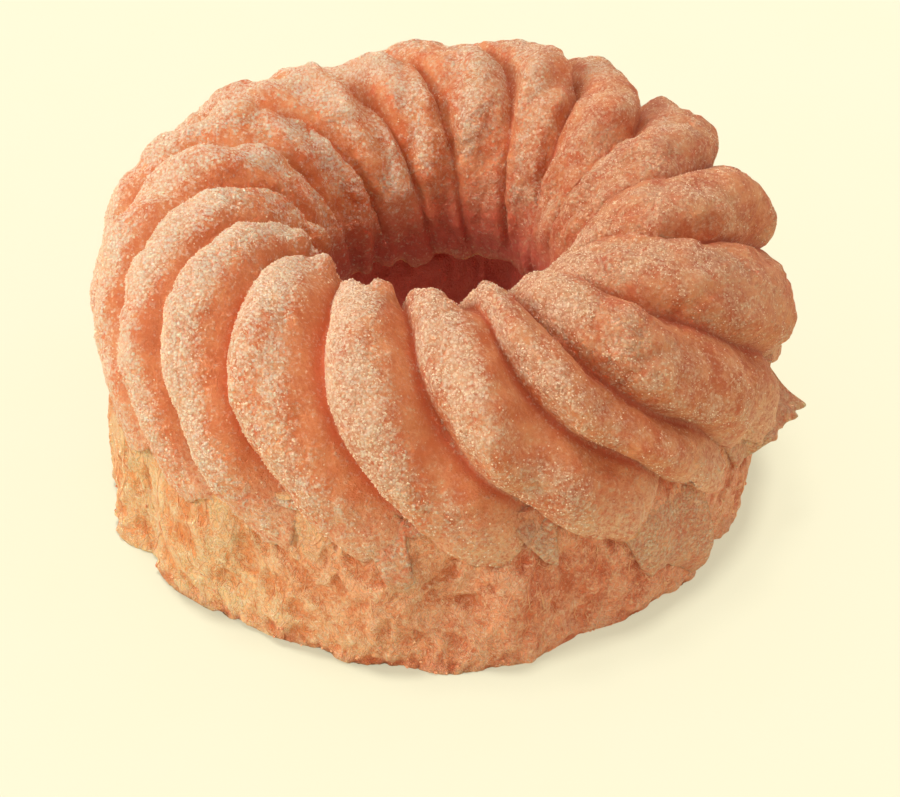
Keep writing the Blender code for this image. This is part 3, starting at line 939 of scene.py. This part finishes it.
def set_bump(tree, shader, height, shape):
    distance, strength = shape
    bump = add(tree, "ShaderNodeBump", {"Height": height, "Distance": distance, "Strength": strength})
    tree.links.new(bump.outputs[0], shader.inputs["Normal"])


def set_depths(shader, depths):
    """Lets light into the dough."""
    scale, radii = depths
    shader.inputs["Subsurface Weight"].default_value = UNDER_SURFACE
    shader.inputs["Subsurface Radius"].default_value = radii
    shader.inputs["Subsurface Scale"].default_value = scale


def crust_material():
    """Browned crust, dusted with sugar where the mesh says that it is frosted."""
    material, tree, shader = material_of("sugared_crust")
    where = own_place(tree)
    frost, toast_and_shade, film = attributes_of(tree, "frost", "toast_and_shade", "film")
    bare_flank_shade, cleft, far_shade = attributes_of(tree, "bare_flank_shade", "cleft", "far_side_shade")
    grains = add(tree, "ShaderNodeTexVoronoi", {"Vector": where, "Scale": 1 / GRAIN_SPACING})
    grain_tone = add(tree, "ShaderNodeSeparateColor", {"Color": grains.outputs["Color"]}).outputs[0]
    grain_edge = ramp(tree, grains.outputs["Distance"], 0.85, 0.25)
    fine = noise_node(tree, where, 0.0005, 3.0, 0.75)
    patches = noise_node(tree, where, 0.0030, 3.0, 0.6)

    mottle = ramp(tree, mixed(tree, (patches, 0.6), (fine, 0.4)), 0.36, 0.62)
    # Crust and sugar are painted darker and redder on the side away from the key light, as shade.
    base = blend(tree, far_shade, blend(tree, mottle, *PLAIN_CRUST), blend(tree, mottle, *SHADED_SIDE_CRUST))
    # The bare flanks are painted darker as shade.
    base = blend(tree, bare_flank_shade, base, blend(tree, mottle, *SHADED_FLANK_CRUST))
    # Groove floors darker: partly painted shade.
    base = blend(tree, cleft, base, blend(tree, far_shade, *CLEFTS))
    # Down the hole: part toasting, part painted shade.
    base = blend(tree, toast_and_shade, base, TOAST_AND_SHADE_CRUST)
    base = blend(tree, maths(tree, "MULTIPLY", film, ramp(tree, fine, 0.25, 0.75)), base, FILM)
    heaped = mixed(tree, (frost, 1.20), (fine, 2.0), (grain_tone, 0.50), (patches, 0.6), SUGAR_LEVEL)
    cover = maths(tree, "MULTIPLY", ramp(tree, heaped, 0.0, 1.0), mixed(tree, (grain_edge, 0.55), 0.45))
    sugar = blend(tree, far_shade, blend(tree, grain_tone, *SUGAR), blend(tree, grain_tone, *SHADED_SIDE_SUGAR))

    set_surface(tree, shader, blend(tree, cover, base, sugar), fine, 0.25, 0.55)
    height = mixed(tree, (maths(tree, "MULTIPLY", grain_edge, cover), 0.8), (fine, 1.2))
    set_bump(tree, shader, height, CRUST_BUMP)
    set_depths(shader, CRUST_DEPTHS)
    return material


def dough_material():
    """Torn dough: pale threads over darker pits, browner at the foot and in the hole; partly painted shade.
    """
    material, tree, shader = material_of("torn_dough")
    raised, lit_golden, toast_and_shade, inside = attributes_of(tree, "raised", "lit_golden", "toast_and_shade", "inside")
    where = own_place(tree)
    bent = wandering(tree, where, 0.0026, 0.0016)
    stretched = vector_maths(tree, "MULTIPLY", bent, (1, 1, 0.5))
    thread_noise = noise_node(tree, stretched, 0.00055, 2.0, 0.6)
    off_middle = maths(tree, "ABSOLUTE", mixed(tree, (thread_noise, 2.0), -1.0))
    threads = ramp(tree, off_middle, 0.20, 0.0)
    crumbs = noise_node(tree, where, 0.0005, 3.0, 0.8)
    patches = noise_node(tree, bent, 0.0022, 3.0, 0.6)

    pits, middling, pale = (
        blend(tree, lit_golden, *tones) for tones in (DOUGH_PITS, MIDDLING_DOUGH, PALE_DOUGH)
    )
    # Sunken parts are darker and raised parts paler: painted shade and light, mixed with random tone.
    level = mixed(tree, (raised, 0.50), (patches, 1.3), (crumbs, 0.9), -0.80)
    base = blend(tree, ramp(tree, level, 0.10, 0.70), pits, middling)
    lightness = mixed(tree, (threads, 0.45), (raised, 0.30), (crumbs, 2.0), (patches, 0.4), -1.28)
    base = blend(tree, ramp(tree, lightness, 0.05, 0.90), base, pale)
    # Browner at the foot; darker where the relief sinks, as painted shade.
    brown_and_shade = mixed(tree, (toast_and_shade, 1.0), (crumbs, 1.2), (raised, -0.4), -0.55)
    base = blend(tree, ramp(tree, brown_and_shade, 0.15, 1.0), base, BROWN_AND_SHADED_DOUGH)

    # In the hole the dough is redder and darker, partly as painted shade.
    set_surface(tree, shader, blend(tree, inside, base, INNER_DOUGH), crumbs, 0.25, 0.55)
    set_bump(tree, shader, mixed(tree, (threads, 0.60), (crumbs, 1.5)), DOUGH_BUMP)
    set_depths(shader, DOUGH_DEPTHS)
    return material


def speckled_material(name, size, detail, span, tones, least_roughness, bump=None):
    """Two tones, mixed by a noise of this size where it lies within this span."""
    material, tree, shader = material_of(name)
    noise_tone = noise_node(tree, own_place(tree), size, detail)
    colour = blend(tree, ramp(tree, noise_tone, *span), *tones)
    set_surface(tree, shader, colour, noise_tone, 0.3, least_roughness)
    if bump:
        set_bump(tree, shader, noise_tone, bump)
    return material


def floor_material():
    """A pale light table: part of its even brightness comes from under it."""
    material, tree, shader = material_of("pale_floor")
    grain = noise_node(tree, own_place(tree), 0.02, 2.0)
    lit = vector_maths(tree, "MULTIPLY", blend(tree, grain, *FLOOR_TONES), (FLOOR_LIT,) * 3)
    tree.links.new(lit, shader.inputs["Base Color"])
    tree.links.new(blend(tree, grain, *FLOOR_GLOW_TONES), shader.inputs["Emission Color"])
    shader.inputs["Emission Strength"].default_value = FLOOR_GLOW
    shader.inputs["Roughness"].default_value = 0.9
    return material


# ----
# The studio.

CAMERA_ELEVATION = 38.2
CAMERA_DISTANCE = 0.430
CAMERA_LENS = 134.0
CAMERA_SHIFT = (0.0144, 0.065)
CAMERA_SENSOR = 36
CAMERA_NEAREST = 0.01

WHITE = (1.0, 1.0, 1.0)
WORLD_LIGHT = 0.74
# Suns: (name, bearing, elevation, strength, angle that it fills in degrees, colour).
OVERHEAD = ("overhead", 150, 83, 0.92, 12, WHITE)
KEY = ("key", 195, 31, 1.74, 25, (1.0, 0.98, 0.96))
ABOVE_FLOOR = ("above_floor", 145, 86.5, 3.00, 10, WHITE)

FLOOR_SIZE = 4
FLOOR_LIT = 0.25  # the share of the studio's light that the floor gives back
FLOOR_GLOW = 0.504


def make_camera():
    """The camera in front of the ring, looking down on it."""
    camera = in_scene("camera", bpy.data.cameras.new("camera"))
    elevation = math.radians(CAMERA_ELEVATION)
    camera.location = (
        -MIDDLE[0],
        -CAMERA_DISTANCE * math.cos(elevation) - MIDDLE[1],
        CAMERA_DISTANCE * math.sin(elevation),
    )
    camera.rotation_euler = (math.pi / 2 - elevation, 0, 0)
    camera.data.sensor_width = CAMERA_SENSOR
    camera.data.lens = CAMERA_LENS
    camera.data.shift_x, camera.data.shift_y = CAMERA_SHIFT
    camera.data.clip_start = CAMERA_NEAREST
    bpy.context.scene.camera = camera


def make_floor():
    bpy.ops.mesh.primitive_plane_add(size=FLOOR_SIZE)
    floor = bpy.context.object
    floor.name = "floor"
    floor.data.materials.append(floor_material())
    return floor


def make_sun(name, bearing, elevation, strength, softness, colour, lit=None, shading=None):
    """A soft sun from this bearing and elevation, in degrees, which may light or be shaded by some alone."""
    sun = in_scene(name, bpy.data.lights.new(name, "SUN"))
    sun.rotation_euler = (math.radians(90 - elevation), 0, math.radians(bearing + 90))
    sun.data.energy = strength
    sun.data.angle = math.radians(softness)
    sun.data.color = colour
    if lit:
        sun.light_linking.receiver_collection = collection_of(name + "_lights", lit)
    if shading:
        sun.light_linking.blocker_collection = collection_of(name + "_is_shaded_by", shading)


def collection_of(name, objects):
    """A collection outside the scene's own."""
    collection = bpy.data.collections.new(name)
    for one in objects:
        collection.objects.link(one)
    return collection


def make_studio():
    """The camera, the floor, and the lights that fall on everything."""
    make_camera()
    floor = make_floor()
    make_sun(*OVERHEAD)
    world = bpy.data.worlds.new("studio")
    world.use_nodes = True
    background = world.node_tree.nodes["Background"]
    background.inputs["Color"].default_value = (*WHITE, 1)
    background.inputs["Strength"].default_value = WORLD_LIGHT
    bpy.context.scene.world = world
    bpy.context.scene.view_settings.view_transform = "Standard"
    return floor


def finish_piece(piece):
    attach(piece, "root")
    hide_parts("cruller")


def main():
    for name in ("Cube", "Light", "Camera"):
        if name in bpy.data.objects:
            bpy.data.objects.remove(bpy.data.objects[name])
    floor = make_studio()
    sugared = crust_material()
    crust, surface, frost = make_crust(sugared)
    burst_dough, side = make_burst_dough(dough_material())
    sugar_material = speckled_material("sugar_grains", 0.0006, 2.0, (0.35, 0.65), GRAIN_TONES, 0.45)
    sugar = make_sugar(surface, frost, sugar_material)
    flaps = make_flaps(sugared)
    strand_material = speckled_material("dough_strands", 0.0040, 3.0, (0.30, 0.70), STRAND_TONES, 0.45)
    strands = make_strands(side, strand_material)
    crumb_material = speckled_material(
        "toasted_crumbs", 0.0012, 4.0, (0.30, 0.70), CRUMB_TONES, 0.50, CRUMB_BUMP
    )
    crumbs = make_crumbs(side, crumb_material)
    pieces = (crust, burst_dough, sugar, flaps, strands, crumbs)
    # The key light leaves out the floor, whose tone stays even. The floor's own light comes from above, so
    # that its shadow stays close to the foot.
    make_sun(*KEY, lit=pieces)
    make_sun(*ABOVE_FLOOR, lit=(floor,), shading=(burst_dough, crumbs))
    for piece in pieces:
        finish_piece(piece)


main()
